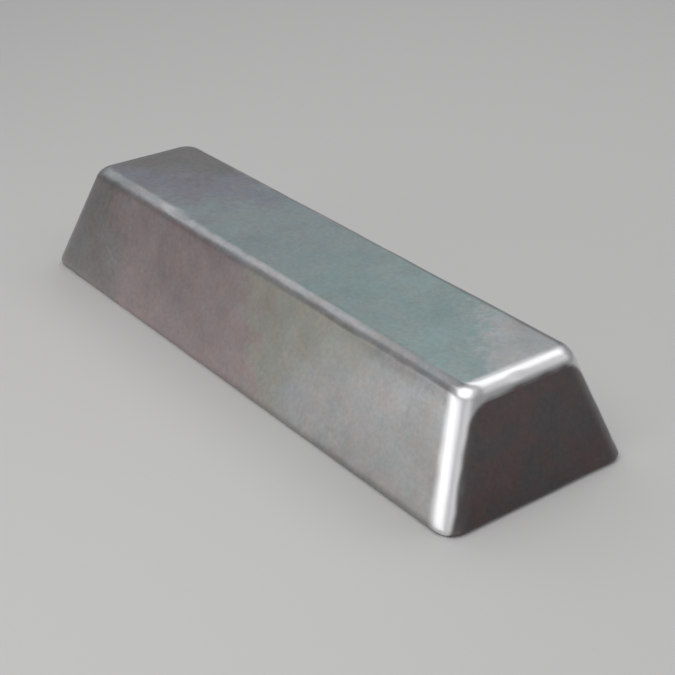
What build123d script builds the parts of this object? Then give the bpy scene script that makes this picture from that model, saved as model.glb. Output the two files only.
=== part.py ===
from build123d import *
import os

# Aluminium ingot for remelting: one solid bar, cast in an open mould with leaning walls.
# Millimetres, +Z up. The bar lies on its wide face, narrow face up. The origin is the centre of the
# wide face, X runs along the bar and Y across it.

# Block, to its sharp corners: the wide face and the height above it
wide_length = 590.0
wide_width = 190.0
height = 99.0

# Draft of the walls, in degrees from the vertical
end_draft = 15.0
side_draft = 22.0

# Rounding of the four sloping corners and of the rims of the two faces
corner_radius = 17.0
narrow_rim_radius = 13.0
wide_rim_radius = 5.0


def drafted_block():
    """The bar with sharp edges: both ends and both sides lean in from the wide face."""
    block = Box(wide_length, wide_width, height, align=(Align.CENTER, Align.CENTER, Align.MIN))
    for across, angle in ((Axis.X, end_draft), (Axis.Y, side_draft)):
        walls = block.faces().filter_by(across)
        block = draft(walls, Plane.XY, angle)
    return block


def wide_face(block):
    """The face that the bar lies on."""
    return block.faces().sort_by(Axis.Z)[0]


def narrow_face(block):
    """The face on top, which was the mould's floor."""
    return block.faces().sort_by(Axis.Z)[-1]


def round_corners(block):
    """The sloping edges between the sides and the ends, rounded first so that both rims run round them."""
    sloping = block.edges() - wide_face(block).edges() - narrow_face(block).edges()
    return fillet(sloping, corner_radius)


def round_rims(block):
    """The edges round the narrow face and round the wide face."""
    block = fillet(narrow_face(block).edges(), narrow_rim_radius)
    return fillet(wide_face(block).edges(), wide_rim_radius)


ingot = round_rims(round_corners(drafted_block()))
ingot.label = "ingot"

os.makedirs("parts", exist_ok=True)
export_step(ingot, os.path.join("parts", "ingot.step"))
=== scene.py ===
import math

import bpy
import numpy as np
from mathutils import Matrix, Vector, noise


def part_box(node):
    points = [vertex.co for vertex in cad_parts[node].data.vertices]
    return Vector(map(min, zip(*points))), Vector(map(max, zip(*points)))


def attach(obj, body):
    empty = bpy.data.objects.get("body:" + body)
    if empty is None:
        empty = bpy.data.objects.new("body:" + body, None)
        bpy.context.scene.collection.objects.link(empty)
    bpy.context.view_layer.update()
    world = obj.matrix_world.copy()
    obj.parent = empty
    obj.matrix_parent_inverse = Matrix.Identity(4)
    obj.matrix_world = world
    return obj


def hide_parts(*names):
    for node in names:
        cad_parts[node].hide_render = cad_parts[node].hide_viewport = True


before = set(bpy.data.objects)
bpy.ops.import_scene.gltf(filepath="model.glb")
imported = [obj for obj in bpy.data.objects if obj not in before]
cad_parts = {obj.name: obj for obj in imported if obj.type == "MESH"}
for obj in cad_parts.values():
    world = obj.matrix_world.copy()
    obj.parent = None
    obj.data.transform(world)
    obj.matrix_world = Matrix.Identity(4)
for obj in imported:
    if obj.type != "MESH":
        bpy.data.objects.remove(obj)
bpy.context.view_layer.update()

# Bar: its box comes from the frame, in metres, and the drafts and roundings are the casting's own
low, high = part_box("ingot")
height = high.z - low.z
end_draft = math.radians(15.0)
side_draft = math.radians(22.0)
corner_radius = 0.0177  # in a level cut, so a little more than square to the leaning corner
narrow_rim = 0.013
wide_rim = 0.005

# Mesh of the bar: steps along each stretch
long_steps = 280
short_steps = 56
half_corner_steps = 10
wide_rim_steps = 10
wall_steps = 32
narrow_rim_steps = 16

# Swells of the faces, and wear and chips of the edges: depths and sizes of the features in metres
swell_depth = 0.0003
swell_size = 0.110
swell_seed = 3.1
wear_depth = 0.00045
wear_level_share = 0.35
wear_reach = 0.010
blotch_size = 0.040
blotch_seed = 7.7
chip_depth = 0.00018
fleck_size = 0.012
fleck_seed = 5.3

# Knocks on all the edges, and wide dings on the front narrow rim: depths, reaches and places in metres
knock_seed = 5
knocks_per_edge = 2
knock_place_shares = (0.08, 0.92)
knock_tilt_share = 0.25
knock_depths = (0.0004, 0.0010)
knock_reaches = (0.007, 0.016)
knock_blend = 0.0005
ding_places = (-0.225, -0.128)
ding_depths = (0.0008, 0.0014)
ding_reach = 0.026
ding_front_share = 0.25

# Pale rub and painted sheen on the long narrow rims and the knocks: depths under the faces where it starts
# and is full
rim_rub_and_sheen_depths = (0.008, 0.003)
rim_rub_and_sheen_span = (-0.04, -0.17)
rim_rub_and_sheen_lift = 0.004
rim_rub_and_sheen_drop_share = 1 / 3
rim_rub_and_sheen_waver = 0.0012
rim_rub_and_sheen_blotch_share = 0.5
knock_rub_and_sheen_depth = 0.001
knock_rub_and_sheen_share = 0.7

# Painted shade on the sides under the narrow rims: depths under the top where it starts, is full and stops
rim_shade_depths = (0.004, 0.008, 0.021)
rim_shade_span = (0.08, 0.20)
rim_shade_facing_shares = (0.4, 0.7)

# Bright wear round the ends, also a painted sheen at the near end: depths inside an end's outline where it
# starts and is full, and its shares
end_wear_and_sheen_depths = (0.0076, 0.0046)
end_wear_and_sheen_reach_shares = (1.45, 0.95)
end_wear_and_sheen_waver_share = 0.08
far_wear_and_sheen_share = 0.06
knock_wear_share = 0.08

# Dark ends, mostly painted shade over brown and grey patches: depths inside an end's outline where the dark
# starts and is full, and how the sides thin it
dark_depths = (0.0042, 0.0085)
dark_corner = 0.020
dark_waver = 0.0008
dark_rim_share = 0.77
dark_side_depths = (0.018, 0.008)
dark_side_share = 0.30
dark_facing_shares = (0.35, 0.60)
end_shade_shares = (0.86, 1.26)

# Patterns of the skin: size of the features in metres, then detail and roughness of the noise
drift_noise = (0.075, 4.0, 0.55)
fray_noise = (0.006, 4.0, 0.65)
brown_noise = (0.030, 5.0, 0.70)
smudge_noise = (0.050, 5.0, 0.60)
cloud_noise = (0.022, 5.0, 0.62)
speck_noise = (0.004, 3.0, 0.60)
hue_noise = (0.018, 4.0, 0.60)
satin_noise = (0.045, 4.0, 0.55)
grain_noise = (0.0012, 2.0, 0.55)

# What the patterns do: noise levels where a change starts and stops, for some with the brightness there
drift_shares = (0.25, 0.75)
brown_shares = (0.30, 0.70)
hue_shares = (0.35, 0.65)
satin_shares = (0.30, 0.70)
smudge_shares = (0.50, 0.70, 1.0, 0.91)
cloud_shares = (0.30, 0.70, 0.955, 1.04)
speck_shares = (0.30, 0.70, 0.94, 1.05)

# How far the tints drift and fray along the bar, in metres, and how rough and grainy the skin is
drift_reach = 0.038
fray_reach = 0.026
satin_roughness = (0.30, 0.36)
worn_extra_roughness = 0.03
grain_depth = 0.0004
grain_strength = 0.12

# Lie of the tints: how their lines fan out on the top, and how the olive patch of the sides widens upwards
top_facing_shares = (0.94, 0.995)
top_fan = 150.0
top_fan_power = 3.0
olive_place = 0.077
olive_reach = 0.20
olive_lean_share = 3.0

# Tints of the skin, among them painted shade and painted sheen
far_tint = (0.288, 0.288, 0.284)
blue_tint = (0.354, 0.359, 0.413)
teal_tint = (0.405, 0.482, 0.492)
deep_tint = (0.41, 0.522, 0.518)
dim_tint = (0.378, 0.482, 0.478)
light_tint = (0.56, 0.575, 0.578)
grey_tint = (0.39, 0.372, 0.367)
pink_tint = (0.53, 0.445, 0.452)
rose_tint = (0.458, 0.383, 0.388)
olive_tint = (0.44, 0.435, 0.385)
pale_tint = (0.465, 0.465, 0.465)
near_tint = (0.415, 0.41, 0.405)
# Pale rub on the long rims, also a painted sheen
rim_rub_and_sheen_tint = (0.62, 0.63, 0.65)
# Painted shade multiplied in on the sides under the narrow rims
rim_shade_tint = (0.74, 0.74, 0.755)
# The ends' tints are dark as painted shade, over their brown and grey patches
end_brown_tint = (0.158, 0.112, 0.115)
end_grey_tint = (0.117, 0.116, 0.119)
# Worn edges, brightened also as a painted sheen
worn_and_sheen_tint = (0.90, 0.90, 0.91)
warm_tint = (1.035, 0.988, 0.975)
cool_tint = (0.97, 1.008, 1.022)

# Tints along the top and the sides, each at its share of the length from the far end to the near end. On
# the top they also paint light: darker at the far end, lighter at the near end.
top_stop_shares = (
    (0.09, far_tint),
    (0.23, blue_tint),
    (0.38, teal_tint),
    (0.68, deep_tint),
    (0.80, dim_tint),
    (0.91, light_tint),
)
side_stop_shares = (
    (0.08, grey_tint),
    (0.22, pink_tint),
    (0.38, rose_tint),
    (0.54, rose_tint),
    (0.60, olive_tint),
    (0.79, pale_tint),
    (0.91, near_tint),
)

# Sockets of the mix node: its share and its two colours, and the colour that comes out
mix_inputs = (0, 6, 7)
mix_output = 2

# Studio: floor, world and lamps, each with the way to it, its distance, its width and height, and its power
floor_colour = (0.78, 0.775, 0.765)
floor_roughness = 0.9
floor_reach = 30.0
world_colour = (0.98, 0.99, 1.0)
world_strength = 0.24
lamps = (
    ("key", (0.22, -0.42, 0.88), 1.5, (1.2, 1.2), 6.7),
    ("side", (-0.10, -0.97, 0.19), 1.9, (2.3, 0.6), 6.5),
    ("front", (0.74, -0.62, 0.26), 1.9, (0.65, 0.6), 0.92),
    ("back", (-0.74, 0.52, 0.42), 2.4, (1.3, 0.9), 1.0),
    ("rim", (-0.13, 0.58, 0.80), 2.2, (1.8, 0.85), 6.8),
    ("rear", (0.48, 0.64, 0.60), 2.2, (1.2, 0.9), 1.7),
    ("left", (-0.707, 0.0, 0.707), 2.2, (1.5, 0.55), 1.87),
)

# Camera: the photograph's standpoint, aimed at the bar
camera_place = (0.9013, -0.6573, 0.6167)
camera_aim = (0.055, -0.008, 0.036)
camera_lens = 77.0


def sharp_half(box_half, draft):
    """Half the wide face's size to its sharp edge: the rounded rim takes a little off the box."""
    return box_half + wide_rim * (math.tan(math.pi / 4 + draft / 2) - 1)


half_length = sharp_half(high.x, end_draft)
half_width = sharp_half(high.y, side_draft)
narrow_half_length = half_length - height * math.tan(end_draft)
narrow_half_width = half_width - height * math.tan(side_draft)


def half_at(z, sharp, draft):
    """Half the bar's size at height z between two opposite walls, with both rims rounded."""
    lean = math.tan(draft)
    wall = sharp - z * lean
    wide_centre = sharp - wide_rim * lean - wide_rim / math.cos(draft)
    narrow_level = height - narrow_rim
    narrow_centre = sharp - narrow_level * lean - narrow_rim / math.cos(draft)
    lower = wide_centre + np.sqrt(np.maximum(wide_rim ** 2 - (z - wide_rim) ** 2, 0))
    upper = narrow_centre + np.sqrt(np.maximum(narrow_rim ** 2 - (z - narrow_level) ** 2, 0))
    on_wide_rim = z < wide_rim * (1 + math.sin(draft))
    on_narrow_rim = z > narrow_level + narrow_rim * math.sin(draft)
    return np.where(on_wide_rim, lower, np.where(on_narrow_rim, upper, wall))


def row_heights():
    """Heights of the rows of points, from the wide face up, close together on the two rims."""
    middle_draft = (end_draft + side_draft) / 2
    wide_turn = np.linspace(0, math.pi / 2 + middle_draft, wide_rim_steps + 1)
    narrow_turn = np.linspace(middle_draft, math.pi / 2, narrow_rim_steps + 1)
    wide = wide_rim * (1 - np.cos(wide_turn))
    narrow = height - narrow_rim * (1 - np.sin(narrow_turn))
    wall = np.linspace(wide[-1], narrow[0], wall_steps + 1)
    return np.concatenate([wide, wall[1:-1], narrow])


def side_points(along, across, radius, steps):
    """One side of a rounded rectangle, from the middle of one corner up to the middle of the next."""
    turn = np.linspace(0, math.pi / 4, half_corner_steps + 1)
    straight = np.linspace(-(along - radius), along - radius, steps + 1)
    arc_along = along - radius + radius * np.sin(turn)
    arc_across = -(across - radius) - radius * np.cos(turn)
    places = np.concatenate([-arc_along[:0:-1], straight, arc_along[1:]])
    depths = np.concatenate([arc_across[:0:-1], np.full(steps + 1, -across), arc_across[1:]])
    return places[:-1], depths[:-1]


def ring(z):
    """The bar's outline at height z, anticlockwise from above. Its corners are tighter on the rims."""
    along = float(half_at(z, half_length, end_draft))
    across = float(half_at(z, half_width, side_draft))
    taken = half_length - z * math.tan(end_draft) - along
    taken += half_width - z * math.tan(side_draft) - across
    radius = corner_radius - taken / 2
    side_x, side_y = side_points(along, across, radius, long_steps)
    end_y, end_x = side_points(across, along, radius, short_steps)
    front = np.stack([side_x, side_y])
    near = np.stack([-end_x, end_y])
    flat = np.concatenate([front, near, -front, -near], axis=1).T
    return np.column_stack([flat, np.full(len(flat), z)])


def cap_grid(first, spare):
    """Point numbers over a flat face: those of its outline count from first, and inner ones from spare."""
    wide = long_steps + 2 * half_corner_steps
    tall = short_steps + 2 * half_corner_steps
    around = 2 * (wide + tall)
    numbers = first + np.arange(around + 1) % around
    grid = np.zeros((tall + 1, wide + 1), int)
    grid[1:-1, 1:-1] = spare + np.arange((tall - 1) * (wide - 1)).reshape(tall - 1, wide - 1)
    grid[0] = numbers[:wide + 1]
    grid[:, -1] = numbers[wide:wide + tall + 1]
    grid[-1, ::-1] = numbers[wide + tall:2 * wide + tall + 1]
    grid[::-1, 0] = numbers[2 * wide + tall:]
    return grid


def cap_points(outline, grid):
    """Inner points of a flat face, blended from the four sides of its outline."""
    front, back = outline[grid[0]], outline[grid[-1]]
    left, right = outline[grid[:, 0]], outline[grid[:, -1]]
    along = np.linspace(0, 1, len(front))[None, 1:-1, None]
    across = np.linspace(0, 1, len(left))[1:-1, None, None]
    points = (1 - across) * front[None, 1:-1] + across * back[None, 1:-1]
    points = points + (1 - along) * left[1:-1, None] + along * right[1:-1, None]
    points = points - (1 - across) * ((1 - along) * front[0] + along * front[-1])
    points = points - across * ((1 - along) * back[0] + along * back[-1])
    return points.reshape(-1, 3)


def grid_faces(grid):
    """Four-sided faces over a grid of point numbers, facing up when x runs along it and y up it."""
    corners = [grid[:-1, :-1], grid[:-1, 1:], grid[1:, 1:], grid[1:, :-1]]
    return np.stack([corner.ravel() for corner in corners], axis=1)


def bar_points():
    """Points and faces of the smooth bar."""
    rings = [ring(z) for z in row_heights()]
    around = len(rings[0])
    numbers = np.arange(len(rings) * around).reshape(len(rings), around)
    walls = grid_faces(np.concatenate([numbers, numbers[:, :1]], axis=1))
    wide_grid = cap_grid(0, numbers.size)
    wide_inner = cap_points(rings[0], wide_grid)
    last_ring = numbers[-1, 0]
    narrow_grid = cap_grid(last_ring, numbers.size + len(wide_inner))
    narrow_inner = cap_points(rings[-1], narrow_grid - last_ring)
    points = np.concatenate(rings + [wide_inner, narrow_inner])
    faces = np.concatenate([walls, grid_faces(wide_grid)[:, ::-1], grid_faces(narrow_grid)])
    return points, faces


def point_normals(points, faces):
    """Outward direction at each point, averaged over its faces."""
    first, second, third, fourth = (points[faces[:, i]] for i in range(4))
    facing = np.cross(third - first, fourth - second)
    total = np.zeros_like(points)
    for i in range(4):
        np.add.at(total, faces[:, i], facing)
    return total / np.linalg.norm(total, axis=1)[:, None]


def face_directions():
    """Outward directions of the bar's flat faces: near and far end, back and front side, top and base."""
    end, rise = math.cos(end_draft), math.sin(end_draft)
    side, lift = math.cos(side_draft), math.sin(side_draft)
    ends = [(end, 0, rise), (-end, 0, rise)]
    sides = [(0, side, lift), (0, -side, lift)]
    return np.array(ends + sides + [(0, 0, 1), (0, 0, -1)])


def plane_depths(points):
    """How deep each point lies under the nearer end, the nearer side, and the nearer of top and base."""
    facing = face_directions()
    reach = np.array([half_length * facing[0, 0]] * 2 + [half_width * facing[2, 1]] * 2 + [height, 0])
    depths = reach - points @ facing.T
    return depths[:, :2].min(axis=1), depths[:, 2:4].min(axis=1), depths[:, 4:].min(axis=1)


def field(points, size, seed):
    """Smooth noise from about -1 to 1, with features of that size."""
    shift = Vector((seed, 2 * seed, 3 * seed))
    return np.array([noise.noise(Vector(point) / size + shift) for point in points.tolist()])


def smooth_step(value, start, stop):
    """0 at the start and 1 at the stop, with a soft take-off and landing. The start may be the larger."""
    share = np.clip((value - start) / (stop - start), 0, 1)
    return share * share * (3 - 2 * share)


def bar_edges():
    """The twelve sharp edges as two ends and the outward directions of the two faces that meet there."""
    near, far, back, front, top, base = face_directions()
    wide = np.array([half_length, half_width, 0])
    narrow = np.array([narrow_half_length, narrow_half_width, height])
    edges = []
    for size, cover in ((wide, base), (narrow, top)):
        for sign, side in ((1, back), (-1, front)):
            edges.append((size * (-1, sign, 1), size * (1, sign, 1), side, cover))
        for sign, end in ((1, near), (-1, far)):
            edges.append((size * (sign, -1, 1), size * (sign, 1, 1), end, cover))
    for x_sign, end in ((1, near), (-1, far)):
        for y_sign, side in ((1, back), (-1, front)):
            edges.append((wide * (x_sign, y_sign, 1), narrow * (x_sign, y_sign, 1), end, side))
    return edges


def edge_blows():
    """Knocks scattered over all the edges, the same ones every time."""
    draw = np.random.default_rng(knock_seed)
    blows = []
    for start, stop, first, second in bar_edges():
        along = (stop - start) / np.linalg.norm(stop - start)
        for _ in range(knocks_per_edge):
            place = start + (stop - start) * draw.uniform(*knock_place_shares)
            outward = first + second + knock_tilt_share * draw.uniform(-1, 1, 3)
            blows.append((place, along, outward, draw.uniform(*knock_depths), draw.uniform(*knock_reaches)))
    return blows


def ding_blows():
    """Wide dings on the front narrow rim, struck from nearly straight above."""
    front, top = face_directions()[3:5]
    along = np.array([1, 0, 0])
    outward = top + ding_front_share * front
    places = [np.array([x, -narrow_half_width, height]) for x in ding_places]
    return [(place, along, outward, depth, ding_reach) for place, depth in zip(places, ding_depths)]


def knock(points, place, along, outward, depth, reach):
    """Flattens an edge by a blow: a shallow facet, deepest at its middle. Returns points and cut depth."""
    away = points - place
    step = away @ along / reach
    rise = away @ outward
    near = (np.abs(step) < 1) & (np.linalg.norm(away, axis=1) < reach + corner_radius)
    cut = np.where(near, rise - rise[near].max() + depth * (1 - step * step), 0)
    cut = np.maximum(cut, 0)
    cut = cut * cut / (cut + knock_blend)
    return points - cut[:, None] * outward, cut


def knock_edges(points):
    """Strikes all the knocks and dings. Returns the points and how deep each one was cut."""
    total = np.zeros(len(points))
    for place, along, outward, depth, reach in edge_blows() + ding_blows():
        points, cut = knock(points, place, along, outward / np.linalg.norm(outward), depth, reach)
        total = np.maximum(total, cut)
    return points, total


def inside_end(points, blotch, fleck):
    """How far a point lies inside the outline of its end face, which is round at the upper corners."""
    side = plane_depths(points)[1]
    cover = dark_rim_share * (height - points[:, 2])
    gaps = np.maximum(dark_corner - np.stack([side, cover]), 0)
    inside = np.minimum(np.minimum(side, cover), dark_corner - np.hypot(*gaps))
    return inside + dark_waver * (blotch + fleck)


def rub_and_sheen_share(points, blotch, fleck, cuts):
    """How pale each point is rubbed, with a painted sheen, on the long narrow rims and at knocks."""
    side = plane_depths(points)[1]
    cover = height - points[:, 2]
    # Towards the far end the band on the front climbs onto the top
    lift = rim_rub_and_sheen_lift * smooth_step(points[:, 0], *rim_rub_and_sheen_span) * (points[:, 1] < 0)
    depth = np.maximum(side - lift, cover + rim_rub_and_sheen_drop_share * lift) + rim_rub_and_sheen_waver * (blotch + fleck)
    band = np.clip(smooth_step(depth, *rim_rub_and_sheen_depths) * (1 + rim_rub_and_sheen_blotch_share * blotch), 0, 1)
    return np.maximum(band, knock_rub_and_sheen_share * smooth_step(cuts, 0, knock_rub_and_sheen_depth))


def rim_shade_share(points, normals):
    """How dark each point of the sides is painted just under the narrow rims, towards the near end: a
    painted shade.
    """
    start, full, stop = rim_shade_depths
    cover = height - points[:, 2]
    band = smooth_step(cover, start, full) * smooth_step(cover, stop, full)
    on_side = smooth_step(np.abs(normals[:, 1]), *rim_shade_facing_shares)
    return band * on_side * smooth_step(points[:, 0], *rim_shade_span)


def worn_and_sheen_share(points, inside, blotch, fleck, cuts):
    """How bright each point is worn, with a painted sheen: fully round the near end, faintly round the far
    end and at knocks.
    """
    end, side, cover = plane_depths(points)
    corner_lean = math.asin(math.sin(end_draft) * math.sin(side_draft))
    corner_reach = corner_radius * math.tan(math.pi / 4 - corner_lean / 2)
    rim_reach = narrow_rim * math.tan(math.pi / 4 - end_draft / 2)
    reach = np.where(side < cover, corner_reach, rim_reach)
    round_end = smooth_step(end / reach + end_wear_and_sheen_waver_share * (fleck + blotch), *end_wear_and_sheen_reach_shares)
    round_end = round_end * smooth_step(inside, *end_wear_and_sheen_depths)
    round_end = round_end * np.where(points[:, 0] > 0, 1, far_wear_and_sheen_share)
    return np.maximum(round_end, knock_wear_share * smooth_step(cuts, 0, knock_blend))


def dark_share(points, normals, inside):
    """How dark each point of the ends is painted as shade: fully in the middle, and a little less beside
    the sides.
    """
    on_end = smooth_step(np.abs(normals[:, 0]), *dark_facing_shares)
    by_side = smooth_step(plane_depths(points)[1], *dark_side_depths)
    return smooth_step(inside, *dark_depths) * on_end * (1 - dark_side_share * by_side)


def add_layer(mesh, name, values):
    """Keeps one number per point for the material to read."""
    kept = mesh.attributes.new(name, "FLOAT", "POINT")
    kept.data.foreach_set("value", values.astype(np.float32))


def make_ingot():
    """The bar as a dense mesh: swells left by the casting, unevenly worn edges and knocks."""
    points, faces = bar_points()
    normals = point_normals(points, faces)
    on_edge = smooth_step(np.sort(plane_depths(points), axis=0)[1], wear_reach, 0)
    blotch = field(points, blotch_size, blotch_seed)
    fleck = field(points, fleck_size, fleck_seed)
    swell = swell_depth * (1 + field(points, swell_size, swell_seed)) / 2
    wear = wear_depth * np.clip(wear_level_share + blotch, 0, 1) + chip_depth * np.clip(fleck, 0, 1)
    points, cuts = knock_edges(points - normals * (swell + on_edge * wear)[:, None])
    inside = inside_end(points, blotch, fleck)
    mesh = bpy.data.meshes.new("ingot_cast")
    mesh.from_pydata(points.tolist(), [], faces.tolist())
    mesh.shade_smooth()
    # Bright wear round the ends, partly a painted sheen at the near end
    add_layer(mesh, "edge_wear_and_sheen", worn_and_sheen_share(points, inside, blotch, fleck, cuts))
    # Pale rub and painted sheen on the long narrow rims and knocks
    add_layer(mesh, "long_rim", rub_and_sheen_share(points, blotch, fleck, cuts))
    # Where the sides are darkened under the narrow rims as painted shade
    add_layer(mesh, "rim_shade", rim_shade_share(points, normals))
    # Where the ends are darkened as painted shade
    add_layer(mesh, "end_face", dark_share(points, normals, inside))
    add_layer(mesh, "top_face", smooth_step(normals[:, 2], *top_facing_shares))
    piece = bpy.data.objects.new("ingot_cast", mesh)
    bpy.context.scene.collection.objects.link(piece)
    return piece


def feed(tree, socket, value):
    """Sets a socket to a value, or links it to another node's output."""
    if isinstance(value, bpy.types.NodeSocket):
        tree.links.new(value, socket)
    else:
        socket.default_value = value


def add_node(tree, kind, settings=None, **inputs):
    """Adds a shader node. Settings are its properties, and inputs are its sockets."""
    made = tree.nodes.new(kind)
    for name, value in (settings or {}).items():
        setattr(made, name, value)
    for name, value in inputs.items():
        feed(tree, made.inputs[name.replace("_", " ")], value)
    return made


def maths(tree, operation, *values):
    """Arithmetic on numbers and outputs."""
    made = add_node(tree, "ShaderNodeMath", {"operation": operation})
    for socket, value in zip(made.inputs, values):
        feed(tree, socket, value)
    return made.outputs[0]


def between(tree, value, start, stop, first=0.0, last=1.0):
    """Goes smoothly from first to last as the value goes from start to stop."""
    made = add_node(tree, "ShaderNodeMapRange", {"interpolation_type": "SMOOTHSTEP"}, Value=value,
                    From_Min=start, From_Max=stop, To_Min=first, To_Max=last)
    return made.outputs["Result"]


def blend_colours(tree, share, first, second, blend="MIX"):
    """Mixes two colours."""
    made = add_node(tree, "ShaderNodeMix", {"data_type": "RGBA", "blend_type": blend})
    for number, value in zip(mix_inputs, (share, first, second)):
        feed(tree, made.inputs[number], value)
    return made.outputs[mix_output]


def grey(tree, level):
    """A grey colour of that level."""
    return add_node(tree, "ShaderNodeCombineColor", Red=level, Green=level, Blue=level).outputs["Color"]


def pattern(tree, place, size, detail, roughness):
    """Cloudy noise from 0 to 1 with features of that size in metres."""
    made = add_node(tree, "ShaderNodeTexNoise", Vector=place, Scale=1 / size, Detail=detail,
                    Roughness=roughness)
    return made.outputs["Fac"]


def layer(tree, name):
    """One of the numbers kept on the mesh's points."""
    return add_node(tree, "ShaderNodeAttribute", {"attribute_name": name}).outputs["Fac"]


def colour_ramp(tree, share, stops):
    """Colours along a share from 0 to 1. A stop is a share and a colour."""
    made = add_node(tree, "ShaderNodeValToRGB", Fac=share)
    ramp = made.color_ramp
    ramp.interpolation = "EASE"
    while len(ramp.elements) < len(stops):
        ramp.elements.new(1.0)
    for element, (place, colour) in zip(ramp.elements, stops):
        element.position = place
        element.color = (*colour, 1)
    return made.outputs["Color"]


def colour_along(tree, along, stops):
    """Colours by the place along the bar, which is 0 at its middle."""
    return colour_ramp(tree, maths(tree, "MULTIPLY_ADD", along, 0.5 / half_length, 0.5), stops)


def drifted(tree, place, axes):
    """The place along the bar, shifted unevenly, so that the tints meet in wandering, ragged lines."""
    drift = between(tree, pattern(tree, place, *drift_noise), *drift_shares, -drift_reach, drift_reach)
    fray = between(tree, pattern(tree, place, *fray_noise), *drift_shares, -fray_reach, fray_reach)
    return maths(tree, "ADD", axes["X"], maths(tree, "ADD", drift, fray))


def top_colour(tree, axes, along):
    """The run of tints on the top, which also paints light: darker at the far end, lighter at the near end.
    Their lines slant more and more towards the ends.
    """
    slant = maths(tree, "MULTIPLY", maths(tree, "POWER", axes["X"], top_fan_power), top_fan)
    fanned = maths(tree, "MULTIPLY_ADD", slant, axes["Y"], along)
    return colour_along(tree, fanned, top_stop_shares)


def side_colour(tree, axes, along):
    """The run of tints on the sides. The olive patch is wide at the top and narrow at the foot."""
    lean = maths(tree, "MULTIPLY_ADD", axes["Z"], -olive_lean_share / height, olive_lean_share / 2)
    away = maths(tree, "SUBTRACT", along, olive_place)
    about = between(tree, maths(tree, "ABSOLUTE", away), 0.0, olive_reach, 1.0, 0.0)
    leaned = maths(tree, "MULTIPLY_ADD", away, maths(tree, "MULTIPLY", about, lean), along)
    return colour_along(tree, leaned, side_stop_shares)


def end_colour(tree, place, axes):
    """The dark ends: patches of brown and grey, darkened as painted shade, and lighter towards the top as
    painted light.
    """
    browned = between(tree, pattern(tree, place, *brown_noise), *brown_shares)
    patches = blend_colours(tree, browned, (*end_grey_tint, 1), (*end_brown_tint, 1))
    shade = between(tree, axes["Z"], 0.0, height, *end_shade_shares)
    return blend_colours(tree, 1.0, patches, grey(tree, shade), "MULTIPLY")


def skin_colour(tree, place):
    """Faint tints along the top and the sides, with painted light along the top, and over them the painted
    shade under the rims, the pale rub with its painted sheen and the dark ends of painted shade.
    """
    axes = add_node(tree, "ShaderNodeSeparateXYZ", Vector=place).outputs
    along = drifted(tree, place, axes)
    side = side_colour(tree, axes, along)
    # The top's tints carry painted light, darker at the far end and lighter at the near end
    colour = blend_colours(tree, layer(tree, "top_face"), side, top_colour(tree, axes, along))
    # Painted shade on the sides just under the narrow rims
    colour = blend_colours(tree, layer(tree, "rim_shade"), colour, (*rim_shade_tint, 1), "MULTIPLY")
    # Pale rub and painted sheen on the long narrow rims and knocks
    colour = blend_colours(tree, layer(tree, "long_rim"), colour, (*rim_rub_and_sheen_tint, 1))
    # Dark ends of painted shade over the skin
    return blend_colours(tree, layer(tree, "end_face"), colour, end_colour(tree, place, axes))


def mottling(tree, place):
    """Soft smudges, clouds and specks that darken or lighten the skin, with a hint of warm and cool."""
    smudge = between(tree, pattern(tree, place, *smudge_noise), *smudge_shares)
    cloud = between(tree, pattern(tree, place, *cloud_noise), *cloud_shares)
    speck = between(tree, pattern(tree, place, *speck_noise), *speck_shares)
    level = maths(tree, "MULTIPLY", smudge, maths(tree, "MULTIPLY", cloud, speck))
    mixed = between(tree, pattern(tree, place, *hue_noise), *hue_shares)
    hue = blend_colours(tree, mixed, (*warm_tint, 1), (*cool_tint, 1))
    return blend_colours(tree, 1.0, grey(tree, level), hue, "MULTIPLY")


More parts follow.
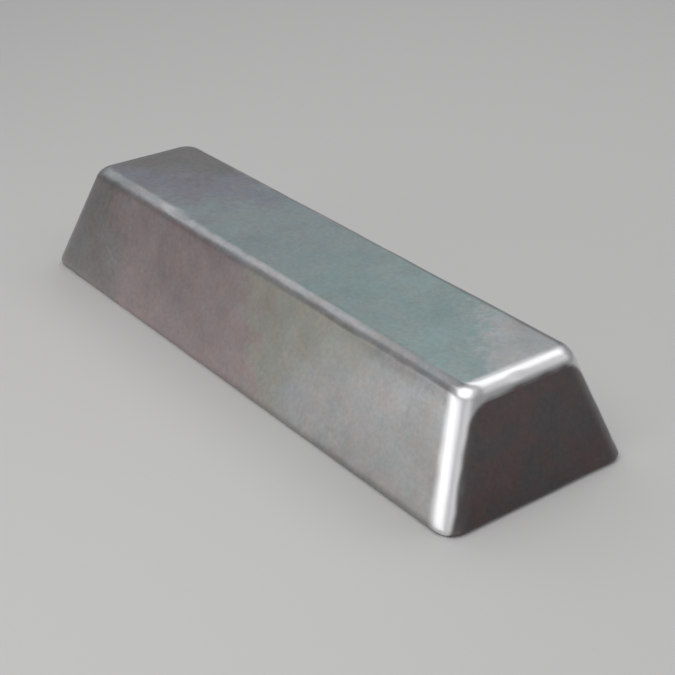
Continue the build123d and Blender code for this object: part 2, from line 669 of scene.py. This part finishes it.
def cast_aluminium():
    """Satin cast aluminium with faint coloured patches, mottling and bright worn edges, with painted light
    in it: sheen on the worn edges and rims, shade on the ends and under the rims, and light along the top.
    """
    material = bpy.data.materials.new("cast_aluminium")
    material.use_nodes = True
    tree = material.node_tree
    shader = tree.nodes["Principled BSDF"]
    place = tree.nodes.new("ShaderNodeTexCoord").outputs["Object"]
    edge = layer(tree, "edge_wear_and_sheen")
    colour = blend_colours(tree, 1.0, skin_colour(tree, place), mottling(tree, place), "MULTIPLY")
    # Bright worn edges, partly a painted sheen round the near end
    colour = blend_colours(tree, edge, colour, (*worn_and_sheen_tint, 1))
    tree.links.new(colour, shader.inputs["Base Color"])
    shader.inputs["Metallic"].default_value = 1.0
    satin = between(tree, pattern(tree, place, *satin_noise), *satin_shares, *satin_roughness)
    roughness = maths(tree, "MULTIPLY_ADD", edge, worn_extra_roughness, satin)
    tree.links.new(roughness, shader.inputs["Roughness"])
    grain = pattern(tree, place, *grain_noise)
    bump = add_node(tree, "ShaderNodeBump", Strength=grain_strength, Distance=grain_depth, Height=grain)
    tree.links.new(bump.outputs["Normal"], shader.inputs["Normal"])
    return material


def pale_floor():
    """A matt, pale grey floor."""
    material = bpy.data.materials.new("pale_floor")
    material.use_nodes = True
    shader = material.node_tree.nodes["Principled BSDF"]
    shader.inputs["Base Color"].default_value = (*floor_colour, 1)
    shader.inputs["Roughness"].default_value = floor_roughness
    return material


def make_floor():
    """A wide floor under the bar."""
    signs = ((-1, -1), (1, -1), (1, 1), (-1, 1))
    corners = [(x * floor_reach, y * floor_reach, 0) for x, y in signs]
    mesh = bpy.data.meshes.new("floor")
    mesh.from_pydata(corners, [], [(0, 1, 2, 3)])
    mesh.materials.append(pale_floor())
    floor = bpy.data.objects.new("floor", mesh)
    bpy.context.scene.collection.objects.link(floor)


def add_lamp(name, direction, distance, size, power):
    """A soft rectangular lamp that looks at the bar from a direction."""
    data = bpy.data.lights.new(name, "AREA")
    data.shape = "RECTANGLE"
    data.size, data.size_y = size
    data.energy = power
    lamp = bpy.data.objects.new(name, data)
    towards = Vector(direction).normalized()
    lamp.location = towards * distance
    lamp.rotation_euler = towards.to_track_quat("Z", "Y").to_euler()
    bpy.context.scene.collection.objects.link(lamp)


def make_world():
    """An even, dim studio."""
    world = bpy.data.worlds.new("studio")
    bpy.context.scene.world = world
    world.use_nodes = True
    background = world.node_tree.nodes["Background"]
    background.inputs["Color"].default_value = (*world_colour, 1)
    background.inputs["Strength"].default_value = world_strength


def make_camera():
    """The photograph's viewing angle."""
    data = bpy.data.cameras.new("camera")
    data.lens = camera_lens
    camera = bpy.data.objects.new("camera", data)
    camera.location = camera_place
    ahead = Vector(camera_aim) - Vector(camera_place)
    camera.rotation_euler = ahead.to_track_quat("-Z", "Y").to_euler()
    bpy.context.scene.collection.objects.link(camera)
    bpy.context.scene.camera = camera


ingot = make_ingot()
ingot.data.materials.append(cast_aluminium())
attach(ingot, "root")
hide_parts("ingot")

make_floor()
make_world()
for lamp in lamps:
    add_lamp(*lamp)
make_camera()
bpy.context.scene.view_settings.view_transform = "Standard"
